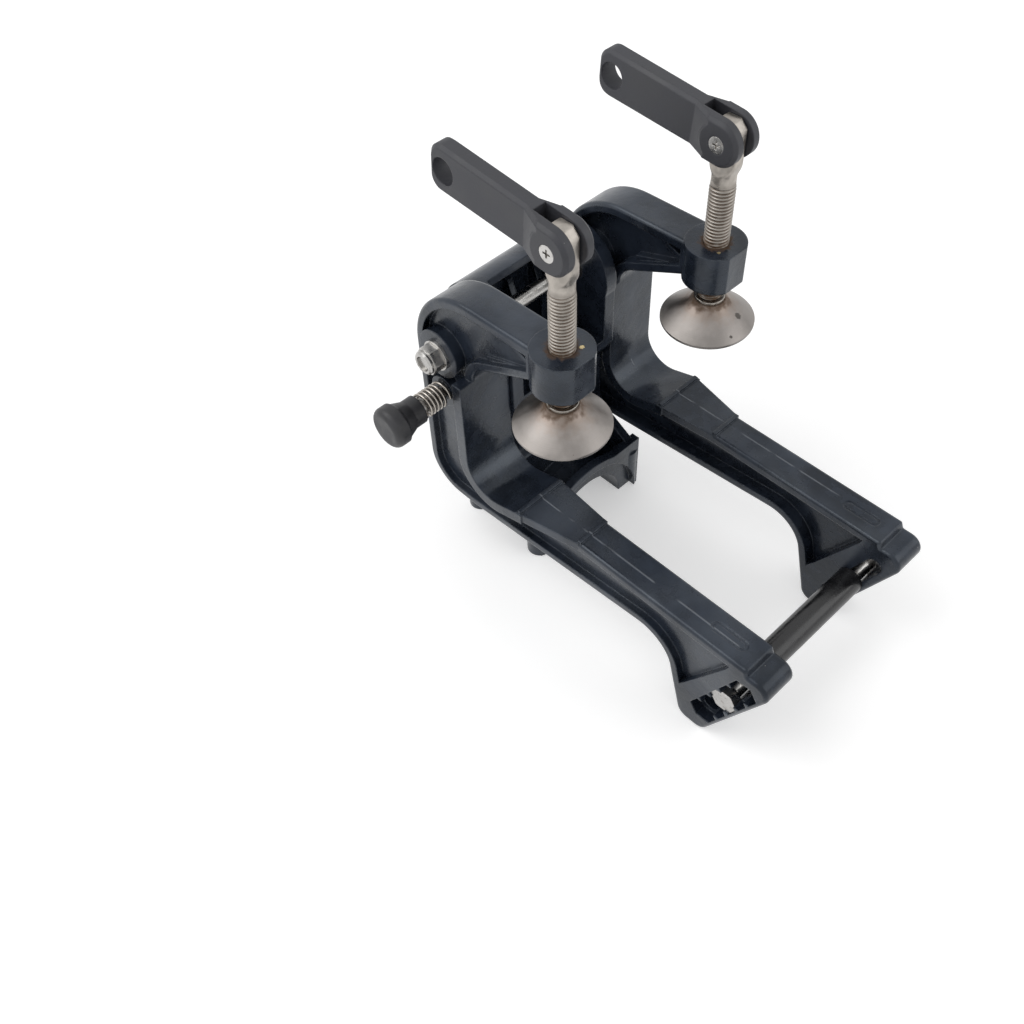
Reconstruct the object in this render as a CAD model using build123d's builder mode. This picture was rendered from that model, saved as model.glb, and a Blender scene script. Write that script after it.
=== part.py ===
"""Outboard motor bracket: two clamp castings, a tilting swivel casting, clamp screws with folding handles."""

from build123d import *
from math import cos, radians, sin
import os

os.makedirs("parts", exist_ok=True)

# The frame: X runs down the arms, Y across the bracket, Z up, out of the surface it lies on.
# The origin is the centre of the four tapped lug holes, in the swivel saddle's split face.
# All sizes are in millimetres.

# Swivel saddle
SADDLE_BORE_R = 27.0
SADDLE_LENGTH = 60.0
SADDLE_SHELL_R = 32.0
SADDLE_SIDE = 5.0
SEAT_RIM_R = 41.0
SEAT_RIM_GAP = 1.0
SEAT_RIM_TOP_Z = 36.8
SEAT_RIM_WIDTH = 5.0
SEAT_RECESS_R = 36.0
SEAT_RECESS_DEPTH = 3.0
LUG_SPACING_X = 48.0
LUG_SPACING_Y = 69.0
LUG_R = 7.0
LUG_HEIGHT = 28.0
LUG_TAP_R = 2.5
LUG_TAP_DEPTH = 20.0

# Swivel body
CHEEK_GAP = 4.0
CHEEK_WALL = 7.0
HOOD_R = 24.0
HOOD_WALL = 4.5
FRONT_WALL = 5.0
SWIVEL_RIB = 3.5
SWIVEL_RIB_PITCH = 18.0
SWIVEL_RIB_DEPTH = 10.0
NECK_FRONT_X = 2.0
NECK_LOW_Z = 51.0
CHEEK_FRONT_X = 10.0
FRONT_WALL_TOP_Z = 103.0
SADDLE_TOP_Z = 35.0
LOCK_TURNS_DEG = (0.0, 25.0, 75.0)

# Tilt pivot
TILT_X = -13.0
TILT_Z = 139.0
TILT_SHAFT_R = 4.0
TILT_RUN = 0.05
BUSH_R = 7.0
BUSH_FLANGE_R = 12.0
BUSH_FLANGE = 1.7
TILT_BOSS_R = 13.0
TILT_BOSS_PROUD = 2.0

# Clamp castings
ARM_SPACING = 100.0
ARM_WIDTH = 20.0
POCKET_OUT = 4.0
POCKET_IN = 7.0
FLANGE = 5.0
CASTING_ROUND = 2.0
RIB_WIDTH = 2.4
RIB_OUT = 7.0
ARM_TOP_Z = 73.0
ARM_LOW_BACK_Z = 38.4
ARM_LOW_FRONT_Z = 50.0
BACK_X = -31.5
BACK_ROUND = 41.0
BACK_LOW_ROUND = 21.0
HOOK_TOP_Z = 179.0
HOOK_BACK_Z = 176.5
THROAT_X = 8.0
THROAT_LOW_Z = 62.5
THROAT_TOP_Z = 141.0
THROAT_ROUND = 16.0
HOOK_UNDER_ROUND = 14.0
HOOK_UNDER_SLOPE = 0.476
PAD_START_X = 44.0
PAD_END_X = 78.0
PAD_RIDGE = 1.3
PLATE_LIP_IN = 3.4
PLATE_LIP_OUT = 7.5
PLATE_THICK = 6.0
PLATE_LOW_Z = 56.0
PLATE_TOP_Z = 133.0

# Arm end with the notched window
FLARE_X = 134.2
FLARE_ROUND = 20.0
FOOT_BACK_X = 147.5
FOOT_FRONT_X = 162.6
FOOT_ROUND = 7.0
TIP_SLOPE = 0.491
TIP_STEP_X = 179.5
TIP_STEP = 3.5
TIP_ROUND = 7.0
MARK_X = 162.5
MARK_LENGTH = 20.0
MARK_WIDTH = 6.0
MARK_LINE = 1.4
MARK_DEPTH = 0.5

# Thrust rod
ROD_X = 171.0
ROD_Z = 37.0
ROD_TUBE_R = 7.1
ROD_BOLT_R = 4.0
ROD_CLEAR = 0.3
SEAT_SLACK = 0.2
SEAT_DEPTH = 6.3
SEAT_COUNT = 5
SEAT_PITCH = 10.6
SEAT_ANGLE = 64.0

# Clamp screws
SCREW_X = 58.0
SCREW_R = 6.0
SCREW_RUN = 0.05
BOSS_R = 14.5
BOSS_TOP_Z = 179.6
BOSS_HEIGHT = 20.0
BOSS_FLAT = 1.4
THREAD_LOW_Z = 149.5
THREAD_TOP_Z = 211.0
SHANK_R = 5.6
EYE_THICK = 6.2
EYE_WIDTH = 14.4
EYE_LOW_Z = 217.0
EYE_OVER_PIVOT = 9.0
EYE_CHAMFER = 3.5
PIVOT_Z = 232.5
PIVOT_R = 2.5
PIVOT_HEAD_R = 3.9
PIVOT_HEAD = 2.4
PIVOT_NUT = 3.2

# Clamp pads
PAD_R = 22.9
PAD_RIM_Z = 135.3
PAD_FACE_Z = 133.6
PAD_NECK_R = 8.2
PAD_NECK_Z = 147.6
PAD_SPIGOT_R = 4.5
PAD_SPIGOT_Z = 137.5
NECK_RING_R = 7.4
NECK_RING = 1.6

# Handles
HANDLE_REACH = 63.5
HANDLE_END = 8.5
HANDLE_RISE_DEG = 5.0
HANDLE_END_WIDTH = 22.6
HANDLE_THICK = 9.0
HANDLE_EDGE = 1.6
HANDLE_CORNER = 7.0
HANDLE_HOLE_R = 6.2
FORK_WIDTH = 17.0
FORK_SLOT = 6.8
FORK_R = 10.6
FORK_SLOT_DEPTH = 13.0
FORK_NECK = 7.5
FORK_RAMP = 9.0

# Lock plunger
LOCK_DROP = 25.0
LOCK_PIN_R = 4.0
LOCK_RUN = 0.06
LOCK_BOSS_R = 8.6
LOCK_BOSS_PROUD = 1.0
LOCK_PIN_GAP = 1.2
LOCK_SPRING_LENGTH = 17.0
LOCK_SPRING_R = 6.0
LOCK_WIRE_R = 0.75
LOCK_COILS = 5
LOCK_CLIP = 1.2
LOCK_CLIP_R = 6.6
LOCK_WELL_R = 7.1
LOCK_WELL = 9.0
KNOB_R = 10.8
KNOB_NECK_R = 7.5
KNOB_LENGTH = 20.6
KNOB_ROUND = 3.5
LOCK_HOLE_SLACK = 0.4

# Standard fasteners
M8_FLATS = 13.0
M8_HEAD = 5.3
M8_NUT = 6.5
M8_LOCK_NUT = 8.0
M8_WASHER_R = 8.0
M8_WASHER = 1.6
NIPPLE_HEX = 7.0

# Distances from the middle plane that follow from the sizes above
ARM_Y = ARM_SPACING / 2
ARM_OUT = ARM_Y + ARM_WIDTH / 2
ARM_IN = ARM_Y - ARM_WIDTH / 2
CHEEK_OUT = ARM_IN - CHEEK_GAP
SEAT_RIM_OUT = ARM_IN - SEAT_RIM_GAP
TILT_BOSS_OUT = ARM_OUT + TILT_BOSS_PROUD
TILT_BOSS_IN = ARM_IN - TILT_BOSS_PROUD
PLATE_IN = ARM_IN - PLATE_LIP_IN
PLATE_OUT = ARM_OUT + PLATE_LIP_OUT
LOCK_BOSS_OUT = ARM_OUT + LOCK_BOSS_PROUD
LOCK_PIN_IN = CHEEK_OUT + LOCK_PIN_GAP
LOCK_SPRING_OUT = LOCK_BOSS_OUT + LOCK_SPRING_LENGTH
LOCK_Z = TILT_Z - LOCK_DROP
HALF_SADDLE = SADDLE_LENGTH / 2


def side_plane(y):
    """The plane across the bracket at y, drawn with X to the right and Z up."""
    return Plane(origin=(0, y, 0), x_dir=(1, 0, 0), z_dir=(0, -1, 0))


def side_bar(part_radius, y_low, y_high, x, z, mode=Mode.ADD):
    """A round bar or hole along Y, from y_low to y_high."""
    with BuildSketch(side_plane(y_low)) as disc:
        with Locations((x, z)):
            Circle(part_radius)
    extrude(disc.sketch, amount=-(y_high - y_low), mode=mode)


def save(builder, name):
    """Label a finished piece and write its file."""
    builder.part.label = name
    export_step(builder.part, f"parts/{name}.step")


def casting_outline():
    """The clamp casting's side outline: hook, throat, arm, flared end and back."""
    tip_z = ARM_TOP_Z - TIP_STEP
    under_x = SCREW_X - BOSS_R / 2
    corners = [
        (under_x, HOOK_TOP_Z),
        (BACK_X, HOOK_BACK_Z),
        (BACK_X, ARM_LOW_BACK_Z),
        (2.0, ARM_LOW_BACK_Z),
        (FLARE_X, ARM_LOW_FRONT_Z),
        (FOOT_BACK_X, 0.0),
        (FOOT_FRONT_X, 0.0),
        (FOOT_FRONT_X + TIP_SLOPE * tip_z, tip_z),
        (TIP_STEP_X + 1.5, tip_z),
        (TIP_STEP_X, ARM_TOP_Z),
        (PAD_START_X, ARM_TOP_Z),
        (THROAT_X, THROAT_LOW_Z),
        (THROAT_X, THROAT_TOP_Z),
        (under_x, THROAT_TOP_Z + HOOK_UNDER_SLOPE * (under_x - THROAT_X)),
    ]
    rounds = [
        0.5,
        BACK_ROUND,
        BACK_LOW_ROUND,
        30.0,
        FLARE_ROUND,
        FOOT_ROUND,
        FOOT_ROUND,
        TIP_ROUND,
        0.6,
        1.0,
        6.0,
        THROAT_ROUND,
        HOOK_UNDER_ROUND,
        0.5,
    ]
    FilletPolyline(*corners, radius=rounds, close=True)


def window_seats():
    """Centres of the thrust rod's seats along the slanted window."""
    middle = (SEAT_COUNT - 1) / 2
    run = [(i - middle) * SEAT_PITCH for i in range(SEAT_COUNT)]
    angle = radians(SEAT_ANGLE)
    return [(ROD_X + s * cos(angle), ROD_Z + s * sin(angle)) for s in run]


def clamp_bracket(side, name, locks):
    """One clamp casting: side is -1 or 1 in Y, and locks adds the plunger's boss."""
    y = side * ARM_Y
    with BuildPart() as casting:
        # Solid outline with rounded edges
        with BuildSketch(side_plane(y)):
            with BuildLine():
                casting_outline()
            make_face()
        extrude(amount=ARM_WIDTH / 2, both=True)
        rim = casting.faces().filter_by(Axis.Y)
        fillet(rim.edges(), radius=CASTING_ROUND)

        # Pockets on the outer and inner side, which stop short of the slanted window
        window_edge = [
            (FOOT_BACK_X - 6, -5),
            (FOOT_BACK_X - 6, 18),
            (FOOT_BACK_X + 2.5, 31),
            (ROD_X - 1, ARM_TOP_Z - 8),
            (ROD_X + 4, ARM_TOP_Z + 5),
            (ROD_X + 40, ARM_TOP_Z + 5),
            (ROD_X + 40, -5),
        ]
        for sign, depth in ((side, POCKET_OUT), (-side, POCKET_IN)):
            with BuildSketch(side_plane(y + sign * ARM_WIDTH / 2)):
                with BuildLine():
                    casting_outline()
                make_face()
                offset(amount=-FLANGE, mode=Mode.REPLACE)
                with BuildLine():
                    Polyline(*window_edge, close=True)
                make_face(mode=Mode.SUBTRACT)
            extrude(amount=sign * depth, mode=Mode.SUBTRACT)

        # Wide plate round the throat
        with BuildSketch(side_plane(side * PLATE_IN)):
            with BuildLine():
                casting_outline()
            make_face()
            offset(amount=-PLATE_THICK, mode=Mode.SUBTRACT)
            with Locations((THROAT_X + 16, (PLATE_LOW_Z + PLATE_TOP_Z) / 2)):
                Rectangle(44, PLATE_TOP_Z - PLATE_LOW_Z, mode=Mode.INTERSECT)
        extrude(amount=-side * (PLATE_OUT - PLATE_IN))

        # Arm top that narrows from the plate's width, and its two cross ridges
        with BuildSketch(Plane.XY.offset(ARM_TOP_Z - FLANGE)):
            with BuildLine():
                Polyline(
                    (PAD_START_X - 2, side * PLATE_IN),
                    (PAD_END_X, side * ARM_IN),
                    (PAD_END_X, side * ARM_OUT),
                    (PAD_START_X - 2, side * PLATE_OUT),
                    close=True,
                )
            make_face()
        extrude(amount=FLANGE)
        for ridge_x, low, high in (
            (PAD_START_X, PLATE_IN + 0.6, PLATE_OUT - 0.8),
            (PAD_END_X, ARM_IN + 0.6, ARM_OUT - 0.6),
        ):
            with BuildSketch(Plane.XY.offset(ARM_TOP_Z - 1)):
                with Locations((ridge_x, side * (low + high) / 2)):
                    Rectangle(2.2, high - low)
            extrude(amount=1 + PAD_RIDGE)

        # Boss for the clamp screw, with a flat on its front
        with BuildSketch(Plane.XY.offset(BOSS_TOP_Z - BOSS_HEIGHT)):
            with Locations((SCREW_X, y)):
                Circle(BOSS_R)
            with Locations((SCREW_X + BOSS_R, y)):
                Rectangle(2 * BOSS_FLAT, 2 * BOSS_R, mode=Mode.SUBTRACT)
        extrude(amount=BOSS_HEIGHT)

        # Two ribs in the hook's pockets, which meet at the screw boss
        with BuildSketch(side_plane(y)):
            with BuildLine():
                Polyline((17, 152.5), (SCREW_X - 8, 164), (35, 169.5))
            trace(line_width=RIB_WIDTH)
        extrude(amount=RIB_OUT, both=True)

        # Round bosses for the tilt bolt and the lock plunger
        inner = min(side * TILT_BOSS_IN, side * TILT_BOSS_OUT)
        outer = max(side * TILT_BOSS_IN, side * TILT_BOSS_OUT)
        side_bar(TILT_BOSS_R, inner, outer, TILT_X, TILT_Z)
        if locks:
            lock_low = min(side * LOCK_BOSS_OUT, side * ARM_IN)
            lock_high = max(side * LOCK_BOSS_OUT, side * ARM_IN)
            side_bar(LOCK_BOSS_R, lock_low, lock_high, TILT_X, LOCK_Z)

        # Bores
        side_bar(TILT_SHAFT_R + TILT_RUN, inner - 1, outer + 1, TILT_X, TILT_Z, Mode.SUBTRACT)
        if locks:
            side_bar(LOCK_PIN_R + LOCK_RUN, lock_low - 1, lock_high + 1, TILT_X, LOCK_Z, Mode.SUBTRACT)
            side_bar(LOCK_WELL_R, lock_high - LOCK_WELL, lock_high + 1, TILT_X, LOCK_Z, Mode.SUBTRACT)
        with BuildSketch(Plane.XY.offset(BOSS_TOP_Z - BOSS_HEIGHT - 1)):
            with Locations((SCREW_X, y)):
                Circle(SCREW_R + SCREW_RUN)
        extrude(amount=BOSS_HEIGHT + 2, mode=Mode.SUBTRACT)

        # Notched window: a slanted slot for the bolt, with a row of hexagon seats outside
        with BuildSketch(side_plane(y)):
            with Locations(Location((ROD_X, ROD_Z), SEAT_ANGLE)):
                SlotCenterToCenter((SEAT_COUNT - 1) * SEAT_PITCH, 2 * (ROD_BOLT_R + ROD_CLEAR))
        extrude(amount=ARM_WIDTH, both=True, mode=Mode.SUBTRACT)
        with BuildSketch(side_plane(side * ARM_OUT)):
            with Locations(*window_seats()):
                RegularPolygon(M8_FLATS / 2 + SEAT_SLACK, 6, major_radius=False, rotation=SEAT_ANGLE)
        extrude(amount=side * SEAT_DEPTH, mode=Mode.SUBTRACT)

        # Shallow slot-shaped mark on the arm's top
        with BuildSketch(Plane.XY.offset(ARM_TOP_Z)):
            with Locations((MARK_X, y)):
                SlotOverall(MARK_LENGTH, MARK_WIDTH)
                SlotOverall(
                    MARK_LENGTH - 2 * MARK_LINE,
                    MARK_WIDTH - 2 * MARK_LINE,
                    mode=Mode.SUBTRACT,
                )
        extrude(amount=-MARK_DEPTH, mode=Mode.SUBTRACT)
    save(casting, name)


def swivel_bracket():
    """The swivel casting: half-round saddle, four lugs, two cheeks and a ribbed hood."""
    inside = CHEEK_OUT - CHEEK_WALL
    with BuildPart() as swivel:
        # Block of the side outline, hollowed between the cheeks
        with BuildSketch(side_plane(0)):
            with BuildLine():
                FilletPolyline(
                    (TILT_X - HOOD_R, TILT_Z),
                    (TILT_X - HOOD_R, 34),
                    (-HALF_SADDLE, 24),
                    (-HALF_SADDLE, 0),
                    (HALF_SADDLE, 0),
                    (HALF_SADDLE, SADDLE_TOP_Z),
                    (NECK_FRONT_X, NECK_LOW_Z),
                    (NECK_FRONT_X, 86),
                    (CHEEK_FRONT_X, 98),
                    (CHEEK_FRONT_X, TILT_Z),
                    radius=[0.01, 12, 6, 0.01, 0.01, 3, 14, 8, 8, 1],
                    close=True,
                )
            make_face()
            with Locations((TILT_X, TILT_Z)):
                Circle(HOOD_R)
        extrude(amount=CHEEK_OUT, both=True)
        with BuildSketch(side_plane(0)):
            with BuildLine():
                FilletPolyline(
                    (TILT_X - HOOD_R + HOOD_WALL, TILT_Z),
                    (TILT_X - HOOD_R + HOOD_WALL, NECK_LOW_Z),
                    (NECK_FRONT_X - FRONT_WALL, NECK_LOW_Z),
                    (NECK_FRONT_X - FRONT_WALL, FRONT_WALL_TOP_Z - 3),
                    (CHEEK_FRONT_X + 10, FRONT_WALL_TOP_Z + 3),
                    (CHEEK_FRONT_X + 10, TILT_Z + HOOD_R + 5),
                    (TILT_X, TILT_Z + HOOD_R + 5),
                    (TILT_X, TILT_Z),
                    radius=[0.01, 6, 6, 1, 0.5, 0.5, 0.5, 0.01],
                    close=True,
                )
            make_face()
            with Locations((TILT_X, TILT_Z)):
                Circle(HOOD_R - HOOD_WALL)
        extrude(amount=inside, both=True, mode=Mode.SUBTRACT)

        # Ribs inside the hood and the back wall
        for i in (-1, 0, 1):
            with BuildSketch(side_plane(i * SWIVEL_RIB_PITCH)):
                with BuildLine():
                    Polyline(
                        (TILT_X - HOOD_R + 1, NECK_LOW_Z - 1),
                        (TILT_X - HOOD_R + HOOD_WALL + SWIVEL_RIB_DEPTH, NECK_LOW_Z - 1),
                        (TILT_X - HOOD_R + HOOD_WALL + SWIVEL_RIB_DEPTH, TILT_Z - 16),
                        (TILT_X - HOOD_R + HOOD_WALL + 4, TILT_Z),
                        (TILT_X - HOOD_R + 1, TILT_Z),
                        close=True,
                    )
                make_face()
            extrude(amount=SWIVEL_RIB / 2, both=True)

        # Half-round top of the saddle in front of the neck, between two side walls
        with BuildSketch(Plane.YZ.offset(NECK_FRONT_X + 3)):
            with Locations((0, SADDLE_SHELL_R)):
                Rectangle(2 * (CHEEK_OUT - SADDLE_SIDE), 2 * SADDLE_SHELL_R)
            Circle(SADDLE_SHELL_R, mode=Mode.SUBTRACT)
        extrude(amount=HALF_SADDLE, mode=Mode.SUBTRACT)

        # Rim on the saddle's front end, square at its corners, which takes a liner's flange
        with BuildSketch(Plane.YZ.offset(HALF_SADDLE - SEAT_RIM_WIDTH)):
            Circle(SEAT_RIM_R)
            Rectangle(2 * SEAT_RIM_OUT, 2 * SEAT_RIM_TOP_Z)
            with Locations((0, SEAT_RIM_R)):
                Rectangle(2 * SEAT_RIM_OUT, 2 * SEAT_RIM_R, mode=Mode.INTERSECT)
        extrude(amount=SEAT_RIM_WIDTH)

        # Four lugs, each a round post joined to the cheek
        with BuildSketch(Plane.XY):
            for x in (-LUG_SPACING_X / 2, LUG_SPACING_X / 2):
                for y in (-LUG_SPACING_Y / 2, LUG_SPACING_Y / 2):
                    with Locations((x, y)):
                        Circle(LUG_R)
        extrude(amount=LUG_HEIGHT)

        # Saddle bore, and the recess in the rim for the liner's flange
        with BuildSketch(Plane.YZ.offset(-HALF_SADDLE - 10)):
            Circle(SADDLE_BORE_R)
        extrude(amount=SADDLE_LENGTH + 20, mode=Mode.SUBTRACT)
        with BuildSketch(Plane.YZ.offset(HALF_SADDLE - SEAT_RECESS_DEPTH)):
            Circle(SEAT_RECESS_R)
        extrude(amount=SEAT_RECESS_DEPTH + 1, mode=Mode.SUBTRACT)

        # Tapped holes in the lugs
        with BuildSketch(Plane.XY):
            with GridLocations(LUG_SPACING_X, LUG_SPACING_Y, 2, 2):
                Circle(LUG_TAP_R)
        extrude(amount=LUG_TAP_DEPTH, mode=Mode.SUBTRACT)

        # Bush bores, then two lock holes and a front notch in the cheek beside the plunger
        side_bar(BUSH_R, -CHEEK_OUT - 1, CHEEK_OUT + 1, TILT_X, TILT_Z, Mode.SUBTRACT)
        lock_hole_r = LOCK_PIN_R + LOCK_HOLE_SLACK
        for turn in LOCK_TURNS_DEG:
            hole_x = TILT_X + LOCK_DROP * sin(radians(turn))
            hole_z = TILT_Z - LOCK_DROP * cos(radians(turn))
            side_bar(lock_hole_r, -CHEEK_OUT - 1, -inside + 1, hole_x, hole_z, Mode.SUBTRACT)

        # Tapped hole for the grease nipple
        side_bar(2.5, -CHEEK_OUT - 3, -SADDLE_BORE_R + 5, 0, 16, Mode.SUBTRACT)
    save(swivel, "swivel_bracket")


def tilt_bush(side, name):
    """Flanged plain bush in a cheek, running on the tilt bolt."""
    low = min(side * (CHEEK_OUT - CHEEK_WALL), side * CHEEK_OUT)
    high = max(side * (CHEEK_OUT - CHEEK_WALL), side * CHEEK_OUT)
    face_low = min(side * CHEEK_OUT, side * (CHEEK_OUT + BUSH_FLANGE))
    face_high = max(side * CHEEK_OUT, side * (CHEEK_OUT + BUSH_FLANGE))
    with BuildPart() as bush:
        side_bar(BUSH_R, low, high, TILT_X, TILT_Z)
        side_bar(BUSH_FLANGE_R, face_low, face_high, TILT_X, TILT_Z)
        side_bar(TILT_SHAFT_R + TILT_RUN, -CHEEK_OUT - 5, CHEEK_OUT + 5, TILT_X, TILT_Z, Mode.SUBTRACT)
    save(bush, name)


def hex_block(flats, y_low, y_high, x, z, turn=0):
    """A hexagon bar along Y with its corners turned down, turned by an angle."""
    with BuildSketch(side_plane(y_low)) as hexagon:
        with Locations((x, z)):
            RegularPolygon(flats / 2, 6, major_radius=False, rotation=turn)
            Circle(flats / 2 * 1.11, mode=Mode.INTERSECT)
    extrude(hexagon.sketch, amount=-(y_high - y_low))


def tilt_bolt():
    """Tilt bolt: long plain shaft with a hexagon head on the right."""
    head = TILT_BOSS_OUT + M8_WASHER
    with BuildPart() as bolt:
        hex_block(M8_FLATS, head, head + M8_HEAD, TILT_X, TILT_Z)
        side_bar(TILT_SHAFT_R, -(head + M8_LOCK_NUT - 1.2), head, TILT_X, TILT_Z)
    save(bolt, "tilt_bolt")


def tilt_nut():
    """Lock nut with a round collar, on the left end of the tilt bolt."""
    seat = -(TILT_BOSS_OUT + M8_WASHER)
    with BuildPart() as nut:
        hex_block(M8_FLATS, seat - 5.6, seat, TILT_X, TILT_Z)
        side_bar(M8_FLATS / 2 - 0.4, seat - M8_LOCK_NUT, seat - 5.6, TILT_X, TILT_Z)
        side_bar(TILT_SHAFT_R, seat - M8_LOCK_NUT - 1, seat + 1, TILT_X, TILT_Z, Mode.SUBTRACT)
        collar = nut.edges().filter_by(GeomType.CIRCLE).group_by(Axis.Y)[0]
        chamfer(collar.sort_by(SortBy.RADIUS)[-1], length=0.9)
    save(nut, "tilt_nut")


def tilt_washers():
    """Plain washers under the tilt bolt's head and nut."""
    with BuildPart() as washers:
        for low in (-(TILT_BOSS_OUT + M8_WASHER), TILT_BOSS_OUT):
            side_bar(M8_WASHER_R, low, low + M8_WASHER, TILT_X, TILT_Z)
            side_bar(TILT_SHAFT_R, low - 1, low + M8_WASHER + 1, TILT_X, TILT_Z, Mode.SUBTRACT)
    save(washers, "tilt_washers")


def thrust_tube():
    """Tube round the thrust bolt, between the arm ends."""
    with BuildPart() as tube:
        side_bar(ROD_TUBE_R, -ARM_IN, ARM_IN, ROD_X, ROD_Z)
        side_bar(ROD_BOLT_R, -ARM_IN - 1, ARM_IN + 1, ROD_X, ROD_Z, Mode.SUBTRACT)
    save(tube, "thrust_tube")


def thrust_bolt():
    """Bolt through the tube, its hexagon head in a seat of the left window."""
    seat = ARM_OUT - SEAT_DEPTH
    with BuildPart() as bolt:
        hex_block(M8_FLATS, -seat - M8_HEAD, -seat, ROD_X, ROD_Z, SEAT_ANGLE)
        side_bar(ROD_BOLT_R, -seat, seat + M8_NUT + 2, ROD_X, ROD_Z)
    save(bolt, "thrust_bolt")


def thrust_nut():
    """Nut on the right end of the thrust bolt, in a seat of the right window."""
    low = ARM_OUT - SEAT_DEPTH
    with BuildPart() as nut:
        hex_block(M8_FLATS, low, low + M8_NUT, ROD_X, ROD_Z, SEAT_ANGLE)
        side_bar(ROD_BOLT_R, low - 1, low + M8_NUT + 1, ROD_X, ROD_Z, Mode.SUBTRACT)
    save(nut, "thrust_nut")


def clamp_screw(side, name):
    """Clamp screw: spigot for the pad, threaded length, and a flattened eye on top."""
    y = side * ARM_Y
    eye_top = PIVOT_Z + EYE_OVER_PIVOT
    with BuildPart() as screw:
        with BuildSketch(Plane.XZ.offset(-y)):
            with BuildLine():
                Polyline(
                    (SCREW_X, PAD_SPIGOT_Z),
                    (SCREW_X + PAD_SPIGOT_R - 0.6, PAD_SPIGOT_Z),
                    (SCREW_X + PAD_SPIGOT_R, PAD_SPIGOT_Z + 0.6),
                    (SCREW_X + PAD_SPIGOT_R, THREAD_LOW_Z),
                    (SCREW_X + SCREW_R - 0.8, THREAD_LOW_Z),
                    (SCREW_X + SCREW_R, THREAD_LOW_Z + 0.8),
                    (SCREW_X + SCREW_R, THREAD_TOP_Z),
                    (SCREW_X + SHANK_R, THREAD_TOP_Z + 0.8),
                    (SCREW_X + SHANK_R, EYE_LOW_Z + 4),
                    (SCREW_X, EYE_LOW_Z + 4),
                    close=True,
                )
            make_face()
        revolve(axis=Axis((SCREW_X, y, 0), (0, 0, 1)))
        with BuildSketch(side_plane(y)):
            with BuildLine():
                Polyline(
                    (SCREW_X - SHANK_R, EYE_LOW_Z),
                    (SCREW_X + SHANK_R, EYE_LOW_Z),
                    (SCREW_X + EYE_WIDTH / 2, EYE_LOW_Z + 4),
                    (SCREW_X + EYE_WIDTH / 2, eye_top - EYE_CHAMFER),
                    (SCREW_X + EYE_WIDTH / 2 - EYE_CHAMFER, eye_top),
                    (SCREW_X - EYE_WIDTH / 2 + EYE_CHAMFER, eye_top),
                    (SCREW_X - EYE_WIDTH / 2, eye_top - EYE_CHAMFER),
                    (SCREW_X - EYE_WIDTH / 2, EYE_LOW_Z + 4),
                    close=True,
                )
            make_face()
        extrude(amount=EYE_THICK / 2, both=True)
        side_bar(PIVOT_R + SCREW_RUN, y - EYE_THICK, y + EYE_THICK, SCREW_X, PIVOT_Z, Mode.SUBTRACT)
    save(screw, name)


def clamp_pad(side, name):
    """Dished swivel pad with a socket for the screw's spigot."""
    y = side * ARM_Y
    with BuildPart() as pad:
        with BuildSketch(Plane.XZ.offset(-y)):
            with BuildLine():
                Polyline(
                    (SCREW_X, PAD_FACE_Z + 1.2),
                    (SCREW_X + 9, PAD_FACE_Z + 1.2),
                    (SCREW_X + 11, PAD_FACE_Z),
                    (SCREW_X + PAD_R - 1, PAD_FACE_Z),
                    (SCREW_X + PAD_R, PAD_FACE_Z + 0.6),
                    (SCREW_X + PAD_R, PAD_RIM_Z),
                )
                Spline(
                    (SCREW_X + PAD_R, PAD_RIM_Z),
                    (SCREW_X + PAD_R * 0.62, PAD_RIM_Z + 7.2),
                    (SCREW_X + PAD_NECK_R, PAD_NECK_Z - 1.2),
                )
                Polyline(
                    (SCREW_X + PAD_NECK_R, PAD_NECK_Z - 1.2),
                    (SCREW_X + PAD_NECK_R - 0.4, PAD_NECK_Z),
                    (SCREW_X, PAD_NECK_Z),
                    (SCREW_X, PAD_FACE_Z + 1.2),
                )
            make_face()
        revolve(axis=Axis((SCREW_X, y, 0), (0, 0, 1)))
        with BuildSketch(Plane.XY.offset(PAD_SPIGOT_Z - 0.3)):
            with Locations((SCREW_X, y)):
                Circle(PAD_SPIGOT_R + SCREW_RUN)
        extrude(amount=PAD_NECK_Z - PAD_SPIGOT_Z + 2, mode=Mode.SUBTRACT)
    save(pad, name)


def neck_ring(side, name):
    """Keeper ring on the pad's neck, round the screw's spigot."""
    y = side * ARM_Y
    with BuildPart() as ring:
        with BuildSketch(Plane.XY.offset(PAD_NECK_Z)):
            with Locations((SCREW_X, y)):
                Circle(NECK_RING_R)
                Circle(PAD_SPIGOT_R + SCREW_RUN, mode=Mode.SUBTRACT)
        extrude(amount=NECK_RING)
        fillet(ring.edges().filter_by(GeomType.CIRCLE).sort_by(SortBy.RADIUS)[-2:], radius=0.4)
    save(ring, name)


def handle_plane(y):
    """Plane of a handle: origin at its pivot, X towards its free end."""
    rise = radians(HANDLE_RISE_DEG)
    return Plane(origin=(SCREW_X, y, PIVOT_Z), x_dir=(-cos(rise), 0, sin(rise)), z_dir=(0, 1, 0))


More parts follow.
